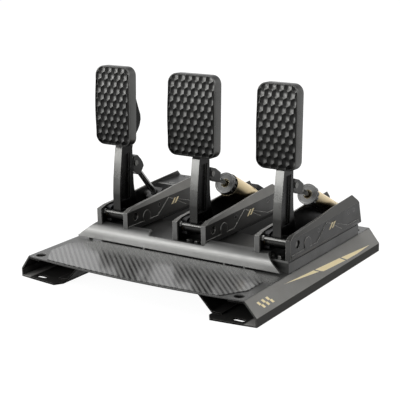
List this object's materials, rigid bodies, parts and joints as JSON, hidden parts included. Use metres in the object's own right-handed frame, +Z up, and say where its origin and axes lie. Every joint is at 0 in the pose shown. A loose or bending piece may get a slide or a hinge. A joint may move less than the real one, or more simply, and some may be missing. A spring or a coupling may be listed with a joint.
{
  "type": "sim racing pedal set",
  "caption": "Sim racing clutch, brake and throttle pedals on one folded metal base, with hydraulic dampers, adjuster rings and mounting slots.",
  "frame": {"origin": "centre of the base's footprint, on the floor", "axes": "+X to the driver's right, +Y away from the driver, +Z up"},
  "size_m": [0.43, 0.4205, 0.3212],
  "materials": {
    "deck_paint": "satin powder coat",
    "rail_paint": "satin powder coat",
    "grip_sheet": "fine twill weave under a clear coat",
    "heel_paint": "satin grey coat",
    "platform_paint": "satin powder coat",
    "bracket_paint": "matt powder coat",
    "cover_paint": "matt metallic grey coat",
    "arm_metal": "grey anodised",
    "pad_metal": "black anodised, dimpled",
    "fork_metal": "grey anodised",
    "block_metal": "dark anodised",
    "shaft_steel": "ground",
    "rod_chrome": "polished",
    "rod_dark": "polished dark",
    "knob_metal": "grey anodised",
    "gold_anodised": "gold anodised",
    "cap_black": "black anodised",
    "spring_steel": "oiled",
    "bush_brass": "plain",
    "sensor_plastic": "matt black",
    "box_plastic": "matt black",
    "board_green": "green board",
    "socket_metal": "plated",
    "black_screws": "black oxide",
    "bright_screws": "zinc plated"
  },
  "bodies": {
    "base": {"deck_plate": "deck_paint", "side_rail_left": "rail_paint", "side_rail_right": "rail_paint", "rail_brace_left": "rail_paint", "rail_brace_right": "rail_paint", "foot_plate": "grip_sheet", "heel_bar": "heel_paint", "platform": "platform_paint", "control_box": "box_plastic", "control_box_lid": "box_plastic", "control_board": "board_green", "usb_socket": "socket_metal", "deck_screws": "black_screws", "bracket_screws": "bright_screws", "bracket_nuts": "bright_screws", "cover_screws": "black_screws", "pivot_bushes": "bush_brass", "tie_rods": "bright_screws", "angle_sensors": "sensor_plastic", "rear_pins": "shaft_steel", "clutch_bracket": "bracket_paint", "clutch_cover_left": "cover_paint", "clutch_cover_right": "cover_paint", "brake_bracket": "bracket_paint", "brake_cover_left": "cover_paint", "brake_cover_right": "cover_paint", "throttle_bracket": "bracket_paint", "throttle_cover_left": "cover_paint", "throttle_cover_right": "cover_paint", "brake_cylinder": "gold_anodised", "brake_end_cap": "cap_black", "brake_spring": "spring_steel"},
    "clutch_pedal": {"clutch_arm": "arm_metal", "clutch_pad": "pad_metal", "clutch_pad_screws": "black_screws", "clutch_pivot_shaft": "shaft_steel", "clutch_fork_pin": "shaft_steel"},
    "clutch_piston": {"clutch_fork": "fork_metal", "clutch_rod": "rod_dark"},
    "brake_pedal": {"brake_arm": "arm_metal", "brake_pad": "pad_metal", "brake_pad_screws": "black_screws", "brake_pivot_shaft": "shaft_steel", "brake_fork_pin": "shaft_steel"},
    "brake_piston": {"brake_fork": "fork_metal", "brake_rod": "rod_chrome"},
    "throttle_pedal": {"throttle_arm": "arm_metal", "throttle_pad": "pad_metal", "throttle_pad_screws": "black_screws", "throttle_pivot_shaft": "shaft_steel", "throttle_fork_pin": "shaft_steel"},
    "throttle_piston": {"throttle_fork": "fork_metal", "throttle_rod": "rod_chrome"},
    "clutch_swivel": {"clutch_block": "block_metal"},
    "throttle_damper": {"throttle_cylinder": "gold_anodised", "throttle_end_cap": "cap_black", "throttle_spring": "spring_steel"},
    "brake_knob": {"brake_adjuster": "knob_metal"},
    "throttle_knob": {"throttle_adjuster": "knob_metal"}
  },
  "joints": [
    {"name": "clutch_pedal_hinge", "type": "hinge", "parent": "base", "child": "clutch_pedal", "pos_m": [-0.1267, -0.04995, 0.079], "axis": [-1, 0, 0], "range_deg": [0, 18], "stiffness_Nm_per_rad": 12, "springref_deg": -11.46},
    {"name": "clutch_fork_hinge", "type": "hinge", "parent": "clutch_pedal", "child": "clutch_piston", "pos_m": [-0.1267, -0.01375, 0.158], "axis": [-1, 0, 0], "range_deg": [-13, 0.5]},
    {"name": "brake_pedal_hinge", "type": "hinge", "parent": "base", "child": "brake_pedal", "pos_m": [0.022, -0.04995, 0.079], "axis": [-1, 0, 0], "range_deg": [0, 9], "stiffness_Nm_per_rad": 250, "springref_deg": -1.15, "deforming": ["brake_spring"]},
    {"name": "brake_fork_hinge", "type": "hinge", "parent": "brake_pedal", "child": "brake_piston", "pos_m": [0.022, -0.01375, 0.158], "axis": [-1, 0, 0], "range_deg": [-9.5, 0.5]},
    {"name": "throttle_pedal_hinge", "type": "hinge", "parent": "base", "child": "throttle_pedal", "pos_m": [0.1695, -0.04995, 0.079], "axis": [-1, 0, 0], "range_deg": [0, 18], "stiffness_Nm_per_rad": 10, "springref_deg": -11.46, "deforming": ["throttle_spring"]},
    {"name": "throttle_fork_hinge", "type": "hinge", "parent": "throttle_pedal", "child": "throttle_piston", "pos_m": [0.1695, -0.01375, 0.158], "axis": [-1, 0, 0], "range_deg": [-19, 0.5]},
    {"name": "clutch_block_hinge", "type": "hinge", "parent": "base", "child": "clutch_swivel", "pos_m": [-0.1267, 0.05225, 0.087], "axis": [-1, 0, 0], "range_deg": [-0.5, 6]},
    {"name": "throttle_damper_hinge", "type": "hinge", "parent": "base", "child": "throttle_damper", "pos_m": [0.1695, 0.14176, 0.07774], "axis": [-1, 0, 0], "range_deg": [-1, 0.2]},
    {"name": "brake_knob_turn", "type": "hinge", "parent": "base", "child": "brake_knob", "pos_m": [0.022, 0.03304, 0.13206], "axis": [0, 0.8746, -0.4848], "range_deg": [0, 270]},
    {"name": "throttle_knob_turn", "type": "hinge", "parent": "throttle_damper", "child": "throttle_knob", "pos_m": [0.1695, 0.03601, 0.13232], "axis": [0, 0.8886, -0.4586], "range_deg": [0, 270]}
  ],
  "couplings": [
    {"joint": "clutch_fork_hinge", "follows": "clutch_pedal_hinge", "ratio": -0.702},
    {"joint": "clutch_block_hinge", "follows": "clutch_pedal_hinge", "ratio": 0.298},
    {"joint": "brake_fork_hinge", "follows": "brake_pedal_hinge", "ratio": -1},
    {"joint": "throttle_fork_hinge", "follows": "throttle_pedal_hinge", "ratio": -1.0475},
    {"joint": "throttle_damper_hinge", "follows": "throttle_pedal_hinge", "ratio": -0.0475}
  ]
}
